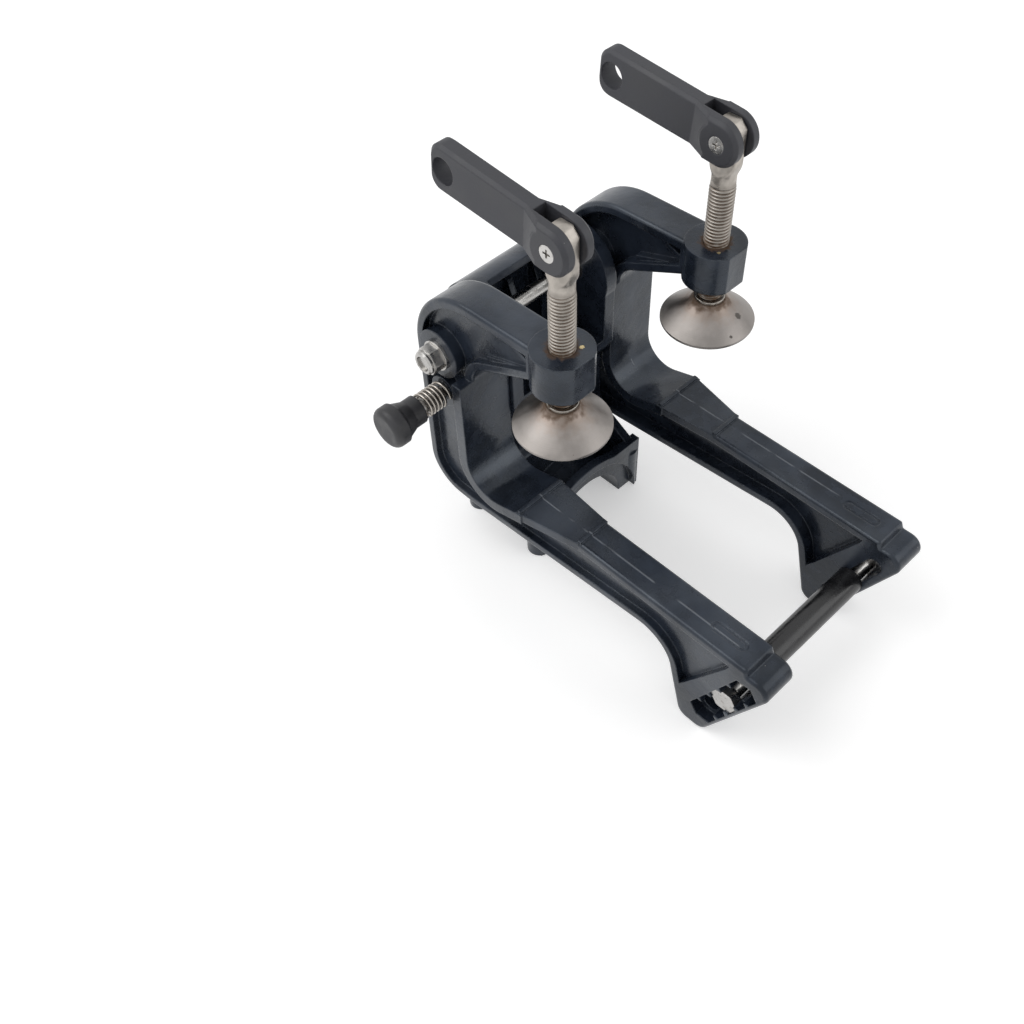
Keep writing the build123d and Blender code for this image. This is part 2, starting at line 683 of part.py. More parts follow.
def handle(side, name):
    """Folding handle: flat lever with an end hole, and a fork round the screw's eye."""
    y = side * ARM_Y
    flat = handle_plane(y)
    end = HANDLE_REACH + HANDLE_END
    ramp_end = FORK_NECK + FORK_RAMP
    lever_half = FORK_R + (HANDLE_END_WIDTH / 2 - FORK_R) * ramp_end / end
    with BuildPart() as lever:
        # Lever, its long edges bevelled
        with BuildSketch(flat) as lever_side:
            with BuildLine():
                Polyline(
                    (0, FORK_R),
                    (0, -FORK_R),
                    (end, -HANDLE_END_WIDTH / 2),
                    (end, HANDLE_END_WIDTH / 2),
                    close=True,
                )
            make_face()
            fillet(lever_side.vertices().sort_by(Axis.X)[-2:], radius=HANDLE_CORNER)
        extrude(amount=HANDLE_THICK / 2, both=True)
        chamfer(lever.faces().filter_by(Axis.Y).edges(), length=HANDLE_EDGE)

        # Fork end, wider, its edges bevelled
        with BuildSketch(flat):
            Circle(FORK_R)
            with Locations((FORK_NECK / 2, 0)):
                Rectangle(FORK_NECK, 2 * FORK_R)
        extrude(amount=FORK_WIDTH / 2, both=True)
        wide = lever.faces().filter_by(Axis.Y).sort_by(Axis.Y)
        chamfer(wide[0].edges() + wide[-1].edges(), length=HANDLE_EDGE)

        # Sloped shoulders from the fork down to the lever
        for run, half_width, half_height in (
            (FORK_NECK - HANDLE_EDGE, FORK_WIDTH / 2, FORK_R),
            (ramp_end, HANDLE_THICK / 2, lever_half),
        ):
            start = flat.origin + flat.x_dir * run
            with BuildSketch(Plane(origin=start, x_dir=(0, 1, 0), z_dir=flat.x_dir)) as cross:
                Rectangle(2 * half_width, 2 * half_height)
                chamfer(cross.vertices(), length=HANDLE_EDGE)
        loft(ruled=True)

        # Slot for the eye, and the end hole
        with BuildSketch(flat):
            with Locations((-FORK_R, 0)):
                Rectangle(2 * (FORK_SLOT_DEPTH + FORK_R), 4 * FORK_R)
        extrude(amount=FORK_SLOT / 2, both=True, mode=Mode.SUBTRACT)
        with BuildSketch(flat):
            with Locations((HANDLE_REACH, 0)):
                Circle(HANDLE_HOLE_R)
        extrude(amount=FORK_WIDTH, both=True, mode=Mode.SUBTRACT)

        # Pivot bore, with a pocket for the screw's head on the left and for its nut on the right
        side_bar(PIVOT_R, y - FORK_WIDTH, y + FORK_WIDTH, SCREW_X, PIVOT_Z, Mode.SUBTRACT)
        left = y - FORK_WIDTH / 2
        right = y + FORK_WIDTH / 2
        side_bar(PIVOT_HEAD_R, left - 1, left + PIVOT_HEAD, SCREW_X, PIVOT_Z, Mode.SUBTRACT)
        side_bar(PIVOT_HEAD_R, right - PIVOT_NUT, right + 1, SCREW_X, PIVOT_Z, Mode.SUBTRACT)
    save(lever, name)


def pivot_screw(side, name):
    """Cross-head pivot screw, sunk in the left ear."""
    y = side * ARM_Y
    left = y - FORK_WIDTH / 2
    right = y + FORK_WIDTH / 2
    with BuildPart() as screw:
        side_bar(PIVOT_HEAD_R, left, left + PIVOT_HEAD, SCREW_X, PIVOT_Z)
        side_bar(PIVOT_R, left, right - 0.6, SCREW_X, PIVOT_Z)
        with BuildSketch(side_plane(left)):
            with Locations((SCREW_X, PIVOT_Z)):
                Rectangle(4.0, 1.0)
                Rectangle(1.0, 4.0)
        extrude(amount=-1.3, mode=Mode.SUBTRACT)
    save(screw, name)


def pivot_nut(side, name):
    """Round nut in the right ear's pocket."""
    y = side * ARM_Y
    right = y + FORK_WIDTH / 2
    with BuildPart() as nut:
        side_bar(PIVOT_HEAD_R, right - PIVOT_NUT, right - 0.4, SCREW_X, PIVOT_Z)
        side_bar(PIVOT_R, right - PIVOT_NUT - 1, right + 1, SCREW_X, PIVOT_Z, Mode.SUBTRACT)
    save(nut, name)


def lock_pin():
    """Lock pin through the left casting, in line with the cheek's lowest lock hole."""
    knob_seat = -LOCK_SPRING_OUT
    with BuildPart() as pin:
        side_bar(LOCK_PIN_R, knob_seat - 8, -LOCK_PIN_IN, TILT_X, LOCK_Z)
        tip = pin.edges().filter_by(GeomType.CIRCLE).sort_by(Axis.Y)[-1]
        chamfer(tip, length=0.8)
    save(pin, "lock_pin")


def lock_knob():
    """Round push knob on the lock pin's outer end."""
    seat = LOCK_SPRING_OUT
    with BuildPart() as knob:
        with BuildSketch(Plane.XY.offset(LOCK_Z)):
            with BuildLine():
                Polyline(
                    (TILT_X, -seat),
                    (TILT_X + KNOB_NECK_R, -seat),
                    (TILT_X + KNOB_NECK_R, -seat - 6),
                    (TILT_X + KNOB_R - 1.2, -seat - 11.5),
                    (TILT_X + KNOB_R, -seat - 13),
                    (TILT_X + KNOB_R, -seat - KNOB_LENGTH),
                    (TILT_X, -seat - KNOB_LENGTH),
                    close=True,
                )
            make_face()
        revolve(axis=Axis((TILT_X, 0, LOCK_Z), (0, 1, 0)))
        front = knob.edges().filter_by(GeomType.CIRCLE).sort_by(Axis.Y)[0]
        fillet(front, radius=KNOB_ROUND)
        side_bar(LOCK_PIN_R, -seat - 8, -seat + 1, TILT_X, LOCK_Z, Mode.SUBTRACT)
    save(knob, "lock_knob")


def lock_spring():
    """Compression spring between the casting's boss and the knob."""
    length = LOCK_SPRING_OUT - LOCK_BOSS_OUT - 2 * LOCK_WIRE_R - 0.1
    start = (TILT_X, -LOCK_BOSS_OUT - LOCK_WIRE_R - 0.05, LOCK_Z)
    with BuildPart() as spring:
        with BuildLine() as coil:
            Helix(
                pitch=length / LOCK_COILS,
                height=length,
                radius=LOCK_SPRING_R,
                center=start,
                direction=(0, -1, 0),
            )
        with BuildSketch(Plane(origin=coil.line @ 0, z_dir=coil.line % 0)):
            RegularPolygon(radius=LOCK_WIRE_R, side_count=12)
        sweep(is_frenet=True)
    save(spring, "lock_spring")


def lock_clip():
    """Retaining clip on the lock pin, at the bottom of the left casting's well."""
    face = -(ARM_IN + LOCK_WELL)
    with BuildPart() as clip:
        side_bar(LOCK_CLIP_R, face, face + LOCK_CLIP, TILT_X, LOCK_Z)
        side_bar(LOCK_PIN_R, face - 1, face + LOCK_CLIP + 1, TILT_X, LOCK_Z, Mode.SUBTRACT)
    save(clip, "lock_clip")


def grease_nipple():
    """Grease nipple in the saddle's left flank, between the lugs."""
    with BuildPart() as nipple:
        hex_block(NIPPLE_HEX, -CHEEK_OUT - 3, -CHEEK_OUT, 0, 16)
        side_bar(2.5, -CHEEK_OUT, -CHEEK_OUT + 4, 0, 16)
        side_bar(1.7, -CHEEK_OUT - 6, -CHEEK_OUT - 3, 0, 16)
        side_bar(2.6, -CHEEK_OUT - 8.4, -CHEEK_OUT - 6, 0, 16)
    save(nipple, "grease_nipple")


clamp_bracket(-1, "clamp_bracket_left", True)
clamp_bracket(1, "clamp_bracket_right", False)
swivel_bracket()
tilt_bush(-1, "tilt_bush_left")
tilt_bush(1, "tilt_bush_right")
tilt_bolt()
tilt_nut()
tilt_washers()
thrust_tube()
thrust_bolt()
thrust_nut()
for side_sign, side_name in ((-1, "left"), (1, "right")):
    clamp_screw(side_sign, f"clamp_screw_{side_name}")
    clamp_pad(side_sign, f"clamp_pad_{side_name}")
    neck_ring(side_sign, f"neck_ring_{side_name}")
    handle(side_sign, f"handle_{side_name}")
    pivot_screw(side_sign, f"pivot_screw_{side_name}")
    pivot_nut(side_sign, f"pivot_nut_{side_name}")
lock_pin()
lock_knob()
lock_spring()
lock_clip()
grease_nipple()
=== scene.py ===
"""Looks of the outboard motor bracket, laid out as an add-on with one operator a group of pieces."""

import math

import bpy
from mathutils import Matrix, Vector


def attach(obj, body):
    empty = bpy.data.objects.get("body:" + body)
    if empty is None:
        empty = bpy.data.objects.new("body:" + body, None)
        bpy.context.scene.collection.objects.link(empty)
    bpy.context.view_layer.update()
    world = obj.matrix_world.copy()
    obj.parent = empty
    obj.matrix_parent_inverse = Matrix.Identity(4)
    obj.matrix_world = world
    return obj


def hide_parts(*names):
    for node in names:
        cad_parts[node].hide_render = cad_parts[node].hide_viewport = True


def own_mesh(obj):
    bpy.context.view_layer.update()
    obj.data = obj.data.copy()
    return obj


bl_info = {
    "name": "Motor Bracket Finishes",
    "version": (1, 0, 0),
    "blender": (4, 5, 0),
    "location": "3D View > Sidebar > Bracket",
    "description": "Threads, spring, pads, paint, plastic and steel of a clamp bracket",
    "category": "Object",
}

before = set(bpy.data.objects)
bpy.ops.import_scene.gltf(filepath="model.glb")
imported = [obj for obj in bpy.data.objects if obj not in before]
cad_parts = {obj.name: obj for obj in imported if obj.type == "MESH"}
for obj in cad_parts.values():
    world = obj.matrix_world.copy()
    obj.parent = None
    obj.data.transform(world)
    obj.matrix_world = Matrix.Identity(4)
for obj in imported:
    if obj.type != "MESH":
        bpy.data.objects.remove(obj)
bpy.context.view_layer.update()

MM = 0.001
SIDES = (("left", -1), ("right", 1))

# Places on the bracket, from the middle of the four lug holes
SCREW_X = 58 * MM
SCREW_Y = 50 * MM
LOCK_X = -13 * MM
LOCK_Z = 114 * MM
ARM_LINE_Y = 51.4 * MM
ARM_TOP_LOW = 72 * MM
ARM_TOP_HIGH = 76 * MM
HOOK_LOW = 155 * MM
HOOK_TOP = 179.6 * MM

# A clamp screw's heights and radii, from its spigot up to its eye
SPIGOT_LOW = 137.5 * MM
SPIGOT_R = 4.5 * MM
THREAD_LOW = 149.5 * MM
THREAD_HIGH = 211 * MM
THREAD_R = 6 * MM
SHANK_R = 5.6 * MM
EYE_LOW = 215 * MM
EYE_FLAT_LOW = 223 * MM
EYE_TOP = 241.5 * MM
EYE_CHAMFER = 3.5 * MM
EYE_HALF_X = 7.2 * MM
EYE_HALF_Y = 3.1 * MM

# The camera's angles in degrees, and its place in metres
CAMERA_AZIMUTH = 48.87
CAMERA_ELEVATION = 50.26
CAMERA_ROLL = -3.43
CAMERA_PLACE = (0.30845, -0.30213, 0.50045)


# Meshes

def add_mesh(name, points, faces, smooth_angle=None):
    """A mesh object from points in metres, smooth shaded."""
    mesh = bpy.data.meshes.new(name)
    mesh.from_pydata(points, [], faces)
    mesh.validate()
    mesh.update()
    mesh.shade_smooth()
    if smooth_angle is not None:
        mesh.set_sharp_from_angle(angle=smooth_angle)
    piece = bpy.data.objects.new(name, mesh)
    bpy.context.scene.collection.objects.link(piece)
    return piece


def ring_stack(rings, closed_ends=True):
    """Points and faces of rings of the same count, stacked one on the next."""
    count = len(rings[0])
    points = [p for ring in rings for p in ring]
    faces = []
    for row in range(len(rings) - 1):
        low = row * count
        for i in range(count):
            j = (i + 1) % count
            faces.append((low + i, low + j, low + count + j, low + count + i))
    if closed_ends:
        faces.append(tuple(reversed(range(count))))
        faces.append(tuple(range(len(points) - count, len(points))))
    return points, faces


def lathe(name, profile, centre, around, smooth_angle):
    """A turned piece from a profile of (radius, height) along Z, in metres."""
    rings = []
    for radius, height in profile:
        ring = []
        for i in range(around):
            turn = 2 * math.pi * i / around
            ring.append((centre[0] + radius * math.cos(turn), centre[1] + radius * math.sin(turn), height))
        rings.append(ring)
    points, faces = ring_stack(rings)
    return add_mesh(name, points, faces, smooth_angle)


def smooth_step(low, high, value):
    """0 below low, 1 above high, and a smooth rise between them."""
    part = min(max((value - low) / (high - low), 0.0), 1.0)
    return part * part * (3 - 2 * part)


# Materials

class Finish:
    """A node material in the making. Each call adds nodes and gives back the socket to use next."""

    def __init__(self, name):
        self.material = bpy.data.materials.new(name)
        self.material.use_nodes = True
        self.tree = self.material.node_tree
        self.tree.nodes.clear()
        self.shader = self.tree.nodes.new("ShaderNodeBsdfPrincipled")
        output = self.tree.nodes.new("ShaderNodeOutputMaterial")
        self.tree.links.new(self.shader.outputs["BSDF"], output.inputs["Surface"])
        self.place = self.tree.nodes.new("ShaderNodeTexCoord").outputs["Object"]
        axes = self.tree.nodes.new("ShaderNodeSeparateXYZ")
        self.tree.links.new(self.place, axes.inputs[0])
        self.x, self.y, self.z = axes.outputs

    def put(self, socket, value):
        """Links a socket into another, or sets it to a number or colour."""
        if isinstance(value, bpy.types.NodeSocket):
            self.tree.links.new(value, socket)
        else:
            socket.default_value = value

    def calc(self, operation, first, second=0.0):
        """One step of arithmetic."""
        node = self.tree.nodes.new("ShaderNodeMath")
        node.operation = operation
        self.put(node.inputs[0], first)
        self.put(node.inputs[1], second)
        return node.outputs[0]

    def rise(self, value, low, high):
        """0 at low and 1 at high, smooth between. Low may be above high."""
        node = self.tree.nodes.new("ShaderNodeMapRange")
        node.interpolation_type = "SMOOTHSTEP"
        self.put(node.inputs["Value"], value)
        turned = low > high
        node.inputs["From Min"].default_value = high if turned else low
        node.inputs["From Max"].default_value = low if turned else high
        node.inputs["To Min"].default_value = 1.0 if turned else 0.0
        node.inputs["To Max"].default_value = 0.0 if turned else 1.0
        return node.outputs[0]

    def noise(self, size, detail=3.0, stretch=(1, 1, 1), roughness=0.55, place=None):
        """Cloudy noise with spots of about that size in metres."""
        mapping = self.tree.nodes.new("ShaderNodeMapping")
        mapping.inputs["Scale"].default_value = stretch
        self.put(mapping.inputs["Vector"], place or self.place)
        node = self.tree.nodes.new("ShaderNodeTexNoise")
        node.inputs["Scale"].default_value = 1.0 / size
        node.inputs["Detail"].default_value = detail
        node.inputs["Roughness"].default_value = roughness
        self.put(node.inputs["Vector"], mapping.outputs[0])
        return node.outputs["Fac"]

    def spots(self, spacing, radius, kept=0.5):
        """Small round spots: 1 inside, 0 outside. Kept is the share of cells with a spot."""
        node = self.tree.nodes.new("ShaderNodeTexVoronoi")
        node.inputs["Scale"].default_value = 1.0 / spacing
        self.put(node.inputs["Vector"], self.place)
        near = self.rise(node.outputs["Distance"], radius / spacing, 0.6 * radius / spacing)
        pick = self.tree.nodes.new("ShaderNodeSeparateColor")
        self.put(pick.inputs[0], node.outputs["Color"])
        chosen = self.calc("LESS_THAN", pick.outputs[0], kept)
        return self.calc("MULTIPLY", near, chosen)

    def blend(self, amount, first, second):
        """The first colour where amount is 0, the second where it is 1."""
        node = self.tree.nodes.new("ShaderNodeMix")
        node.data_type = "RGBA"
        self.put(node.inputs[0], amount)
        self.put(node.inputs[6], first)
        self.put(node.inputs[7], second)
        return node.outputs[2]

    def between(self, amount, first, second):
        """The first number where amount is 0, the second where it is 1."""
        node = self.tree.nodes.new("ShaderNodeMix")
        node.data_type = "FLOAT"
        self.put(node.inputs[0], amount)
        self.put(node.inputs[2], first)
        self.put(node.inputs[3], second)
        return node.outputs[0]

    def edges(self, radius, low=0.03, high=0.3):
        """1 along convex and concave edges, 0 on the flats, and the rounded normal."""
        rounded = self.tree.nodes.new("ShaderNodeBevel")
        rounded.samples = 6
        rounded.inputs["Radius"].default_value = radius
        plain = self.tree.nodes.new("ShaderNodeNewGeometry")
        dot = self.tree.nodes.new("ShaderNodeVectorMath")
        dot.operation = "DOT_PRODUCT"
        self.put(dot.inputs[0], rounded.outputs[0])
        self.put(dot.inputs[1], plain.outputs["Normal"])
        turned = self.calc("SUBTRACT", 1.0, dot.outputs["Value"])
        return self.rise(turned, low, high), rounded.outputs[0]

    def bump(self, height, depth, strength=1.0, normal=None):
        """Surface relief of that depth in metres."""
        node = self.tree.nodes.new("ShaderNodeBump")
        node.inputs["Strength"].default_value = strength
        node.inputs["Distance"].default_value = depth
        self.put(node.inputs["Height"], height)
        if normal is not None:
            self.put(node.inputs["Normal"], normal)
        return node.outputs[0]

    def from_screw(self):
        """Distance from the nearer clamp screw's axis."""
        along = self.calc("SUBTRACT", self.x, SCREW_X)
        side = self.calc("SUBTRACT", self.calc("ABSOLUTE", self.y), SCREW_Y)
        squares = self.calc("ADD", self.calc("POWER", along, 2.0), self.calc("POWER", side, 2.0))
        return self.calc("SQRT", squares)

    def near_point(self, point, radius):
        """1 near a point, with a ragged edge, 0 further away."""
        node = self.tree.nodes.new("ShaderNodeVectorMath")
        node.operation = "DISTANCE"
        self.put(node.inputs[0], self.place)
        node.inputs[1].default_value = point
        ragged = self.calc("MULTIPLY", self.noise(0.9 * MM, 2.0), radius)
        return self.rise(self.calc("ADD", node.outputs["Value"], ragged), 1.45 * radius, 1.2 * radius)

    def finish(self, colour, roughness, metallic, normal):
        """Fills the shader."""
        self.put(self.shader.inputs["Base Color"], colour)
        self.put(self.shader.inputs["Roughness"], roughness)
        self.put(self.shader.inputs["Metallic"], metallic)
        self.put(self.shader.inputs["Normal"], normal)
        return self.material


def shade(colour, times):
    """A colour made darker or lighter."""
    return (colour[0] * times, colour[1] * times, colour[2] * times, 1.0)


def casting_paint(paint, rust, wear_and_highlight):
    """Glossy dark paint on a sand-smooth casting: mottled, worn pale on the edges with a painted highlight
    there too, rusty at the screws.
    """
    f = Finish("casting_paint")
    cloud = f.rise(f.noise(34 * MM, 4.0), 0.35, 0.68)
    fine_cloud = f.rise(f.noise(7 * MM, 5.0), 0.38, 0.7)
    colour = f.blend(cloud, shade(paint, 0.62), shade(paint, 1.35))
    colour = f.blend(f.calc("MULTIPLY", fine_cloud, 0.35), colour, shade(paint, 2.1))
    # Paler edges: partly worn paint, partly a painted highlight along the rounded edges, concave ones too
    edge, rounded = f.edges(1.1 * MM)
    ragged = f.rise(f.noise(5 * MM, 4.0), 0.42, 0.62)
    worn_and_highlit_edge = f.calc("MULTIPLY", f.calc("MULTIPLY", edge, ragged), wear_and_highlight)
    colour = f.blend(worn_and_highlit_edge, colour, (0.115, 0.125, 0.145, 1.0))
    specks = f.spots(9 * MM, 0.28 * MM, 0.3)
    colour = f.blend(f.calc("MULTIPLY", specks, 0.8), colour, (0.3, 0.3, 0.28, 1.0))

    # The mould's parting line along the arms' tops: a raised bump, with its colour painted paler as a
    # highlight along it
    off_line = f.calc("ABSOLUTE", f.calc("SUBTRACT", f.calc("ABSOLUTE", f.y), ARM_LINE_Y))
    on_line = f.rise(off_line, 0.55 * MM, 0.2 * MM)
    above = f.rise(f.z, ARM_TOP_LOW, ARM_TOP_LOW + 0.9 * MM)
    below = f.rise(f.z, ARM_TOP_HIGH, ARM_TOP_HIGH - MM)
    on_top = f.calc("MULTIPLY", above, below)
    broken = f.rise(f.noise(16 * MM, 1.0), 0.44, 0.56)
    line = f.calc("MULTIPLY", f.calc("MULTIPLY", on_line, on_top), broken)
    # Painted highlight: paler blue-grey colour where the parting line runs
    colour = f.blend(f.calc("MULTIPLY", line, 0.5), colour, (0.2, 0.215, 0.24, 1.0))

    # Rust round the screws where they leave the bosses
    away = f.calc("ADD", f.from_screw(), f.calc("MULTIPLY", f.noise(2.2 * MM, 4.0), 5.5 * MM))
    stain = f.rise(away, 11.6 * MM, 9.0 * MM)
    stain = f.calc("MULTIPLY", stain, f.rise(f.z, HOOK_LOW, HOOK_LOW + 2 * MM))
    colour = f.blend(f.calc("MULTIPLY", stain, 0.85), colour, shade(rust, 0.75))

    # A bright chip in the top of each boss
    near_chip = f.near_point((63.6 * MM, -43.9 * MM, HOOK_TOP), 1.35 * MM)
    far_chip = f.near_point((64.6 * MM, 43.9 * MM, HOOK_TOP), 1.0 * MM)
    chips = f.calc("MAXIMUM", near_chip, far_chip)
    colour = f.blend(chips, colour, (0.62, 0.5, 0.27, 1.0))

    sheen = f.rise(f.noise(34 * MM, 2.0, (1, 1, 0.6), 0.5), 0.36, 0.66)
    f.put(f.shader.inputs["Specular IOR Level"], f.between(sheen, 0.3, 0.62))
    f.shader.inputs["Specular Tint"].default_value = (0.8, 0.89, 1.0, 1.0)
    rough = f.between(cloud, 0.2, 0.3)
    rough = f.between(f.calc("MULTIPLY", fine_cloud, 0.6), rough, 0.38)
    rough = f.between(stain, rough, 0.85)
    waves = f.calc("MULTIPLY", f.noise(4.5 * MM, 2.0), 0.7)
    grain = f.calc("MULTIPLY", f.noise(0.9 * MM, 2.0), 0.12)
    height = f.calc("ADD", f.calc("ADD", waves, grain), f.calc("MULTIPLY", line, 0.9))
    height = f.calc("SUBTRACT", height, chips)
    normal = f.bump(height, 0.22 * MM, 1.0, rounded)
    f.shader.inputs["IOR"].default_value = 1.5
    f.shader.inputs["Coat Weight"].default_value = 0.12
    f.shader.inputs["Coat Roughness"].default_value = 0.1
    return f.finish(colour, rough, f.calc("MULTIPLY", chips, 0.8), normal)


def handle_plastic(plastic):
    """Dull moulded plastic with scuffs."""
    f = Finish("handle_plastic")
    cloud = f.rise(f.noise(20 * MM, 4.0), 0.35, 0.65)
    colour = f.blend(cloud, shade(plastic, 0.86), shade(plastic, 1.16))
    edge, rounded = f.edges(1.0 * MM)
    colour = f.blend(f.calc("MULTIPLY", edge, 0.3), colour, shade(plastic, 1.9))
    scuffs = f.rise(f.noise(3 * MM, 5.0, (1, 1, 5), 0.7), 0.62, 0.75)
    colour = f.blend(f.calc("MULTIPLY", scuffs, 0.35), colour, shade(plastic, 2.0))
    specks = f.spots(7 * MM, 0.22 * MM, 0.35)
    colour = f.blend(f.calc("MULTIPLY", specks, 0.6), colour, (0.35, 0.35, 0.34, 1.0))
    rough = f.between(cloud, 0.46, 0.58)
    height = f.calc("ADD", f.noise(0.7 * MM, 2.0), f.calc("MULTIPLY", f.noise(9 * MM, 2.0), 1.5))
    normal = f.bump(height, 0.05 * MM, 0.8, rounded)
    return f.finish(colour, rough, 0.0, normal)


def screw_steel(steel, rust):
    """Stainless screw with brown rust down in the thread."""
    f = Finish("screw_steel")
    cloud = f.rise(f.noise(6 * MM, 4.0), 0.35, 0.65)
    colour = f.blend(cloud, shade(steel, 0.82), shade(steel, 1.15))
    depth = f.rise(f.from_screw(), THREAD_R - 0.25 * MM, THREAD_R - 0.75 * MM)
    below_shank = f.rise(f.z, THREAD_HIGH + 3 * MM, THREAD_HIGH - MM)
    above_spigot = f.rise(f.z, THREAD_LOW - 9.5 * MM, THREAD_LOW - 7.5 * MM)
    threaded = f.calc("MULTIPLY", below_shank, above_spigot)
    colour = f.blend(f.calc("MULTIPLY", threaded, 0.4), colour, shade(steel, 0.4))
    low = f.rise(f.z, THREAD_HIGH - 6 * MM, HOOK_TOP - 7.6 * MM)
    amount = f.calc("ADD", 0.5, f.calc("MULTIPLY", low, 0.4))
    patchy = f.rise(f.noise(3.5 * MM, 4.0), 0.3, 0.6)
    grime = f.calc("MULTIPLY", f.calc("MULTIPLY", depth, threaded), amount)
    grime = f.calc("MULTIPLY", grime, f.calc("ADD", 0.55, f.calc("MULTIPLY", patchy, 0.6)))
    colour = f.blend(grime, colour, shade(rust, 1.1))
    foot = f.calc("MULTIPLY", f.rise(f.z, HOOK_TOP + 5.4 * MM, HOOK_TOP - 1.1 * MM), patchy)
    colour = f.blend(f.calc("MULTIPLY", foot, 0.8), colour, rust)
    rough = f.between(cloud, 0.33, 0.46)
    rough = f.between(f.calc("MAXIMUM", grime, foot), rough, 0.8)
    metal = f.between(f.calc("MAXIMUM", grime, foot), 1.0, 0.25)
    height = f.calc("ADD", f.noise(0.5 * MM, 3.0), f.noise(2.2 * MM, 2.0))
    return f.finish(colour, rough, metal, f.bump(height, 0.05 * MM))


def pad_steel(steel, rust):
    """Turned stainless pad: fine rings, rust round the neck, small spots and two marks."""
    f = Finish("pad_steel")
    away = f.from_screw()
    cloud = f.rise(f.noise(14 * MM, 4.0), 0.35, 0.66)
    colour = f.blend(cloud, shade(steel, 0.86), shade(steel, 1.14))
    rings_at = f.tree.nodes.new("ShaderNodeCombineXYZ")
    f.put(rings_at.inputs[0], away)
    rings = f.noise(0.35 * MM, 2.0, place=rings_at.outputs[0])
    colour = f.blend(f.calc("MULTIPLY", f.rise(rings, 0.5, 0.72), 0.16), colour, shade(steel, 0.6))
    ragged = f.calc("ADD", away, f.calc("MULTIPLY", f.noise(3.2 * MM, 4.0), 9 * MM))
    neck = f.rise(ragged, 15.5 * MM, 10.5 * MM)
    halo = f.rise(ragged, 22 * MM, 12 * MM)
    colour = f.blend(f.calc("MULTIPLY", halo, 0.35), colour, shade(rust, 2.0))
    colour = f.blend(f.calc("MULTIPLY", neck, 0.9), colour, shade(rust, 0.85))
    spots = f.spots(4.2 * MM, 0.3 * MM, 0.22)
    colour = f.blend(f.calc("MULTIPLY", spots, 0.75), colour, shade(rust, 0.5))
    large_mark = f.near_point((72.7 * MM, 54.4 * MM, 141.1 * MM), 2.0 * MM)
    small_mark = f.near_point((77.5 * MM, 44.0 * MM, 137.4 * MM), 0.9 * MM)
    marks = f.calc("MAXIMUM", large_mark, small_mark)
    colour = f.blend(f.calc("MULTIPLY", marks, 0.8), colour, (0.09, 0.08, 0.07, 1.0))
    pits = f.calc("MAXIMUM", marks, spots)
    dull = f.calc("MAXIMUM", neck, pits)
    rough = f.between(cloud, 0.36, 0.5)
    rough = f.between(dull, rough, 0.8)
    metal = f.between(dull, 1.0, 0.2)
    height = f.calc("ADD", f.calc("MULTIPLY", rings, 0.4), f.noise(3 * MM, 3.0))
    height = f.calc("SUBTRACT", height, f.calc("MULTIPLY", pits, 0.8))
    return f.finish(colour, rough, metal, f.bump(height, 0.06 * MM))


def bright_steel(name, steel, grime_amount):
    """Plated steel with a little grime."""
    f = Finish(name)
    cloud = f.rise(f.noise(7 * MM, 2.0), 0.35, 0.65)
    colour = f.blend(cloud, shade(steel, 0.92), shade(steel, 1.06))
    grime = f.calc("MULTIPLY", f.rise(f.noise(2.6 * MM, 4.0), 0.56, 0.68), grime_amount)
    colour = f.blend(grime, colour, (0.12, 0.085, 0.055, 1.0))
    rough = f.between(grime, f.between(cloud, 0.2, 0.34), 0.7)
    rounded = f.edges(0.3 * MM)[1]
    normal = f.bump(f.noise(1.2 * MM, 2.0), 0.003 * MM, 1.0, rounded)
    return f.finish(colour, rough, f.between(grime, 1.0, 0.4), normal)


def hard_plastic(name, plastic, shine, radius):
    """Black plastic, rubbed paler where it is touched."""
    f = Finish(name)
    cloud = f.rise(f.noise(6 * MM, 4.0), 0.35, 0.65)
    colour = f.blend(cloud, shade(plastic, 0.8), shade(plastic, 1.3))
    edge, rounded = f.edges(radius)
    rubbed = f.calc("MULTIPLY", edge, f.rise(f.noise(2 * MM, 3.0), 0.35, 0.6))
    colour = f.blend(f.calc("MULTIPLY", rubbed, 0.4), colour, shade(plastic, 3.0))
    rough = f.between(cloud, shine, shine + 0.14)
    height = f.calc("ADD", f.noise(0.8 * MM, 2.0), f.noise(5 * MM, 2.0))
    return f.finish(colour, rough, 0.0, f.bump(height, 0.05 * MM, 0.8, rounded))


def wear_finish(material, *names):
    """Puts a material on CAD nodes."""
    for name in names:
        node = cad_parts[name]
        if not node.material_slots:
            node.data.materials.append(material)
        for held in node.material_slots:
            held.material = material


def both(name):
    """The left and right node of one name."""
    return [f"{name}_{side}" for side, _ in SIDES]


# Settings

class PaintSettings(bpy.types.PropertyGroup):
    """Colours of the castings and plastics."""

    paint: bpy.props.FloatVectorProperty(
        name="Casting paint", description="Dark paint of the three castings",
        default=(0.0125, 0.0165, 0.025), subtype="COLOR", size=3, min=0, max=1)
    # Paleness along the edges: worn paint and a painted highlight together
    wear_and_highlight: bpy.props.FloatProperty(
        name="Edge wear", description="How much of the paint is rubbed pale along the edges",
        default=0.55, min=0, max=1, subtype="FACTOR")
    plastic: bpy.props.FloatVectorProperty(
        name="Handle plastic", description="Dull grey plastic of the two handles",
        default=(0.032, 0.033, 0.04), subtype="COLOR", size=3, min=0, max=1)
    knob: bpy.props.FloatVectorProperty(
        name="Knob plastic", description="Black plastic of the lock knob",
        default=(0.022, 0.022, 0.025), subtype="COLOR", size=3, min=0, max=1)
    tube: bpy.props.FloatVectorProperty(
        name="Thrust tube", description="Glossy black of the tube between the arm ends",
        default=(0.012, 0.012, 0.013), subtype="COLOR", size=3, min=0, max=1)


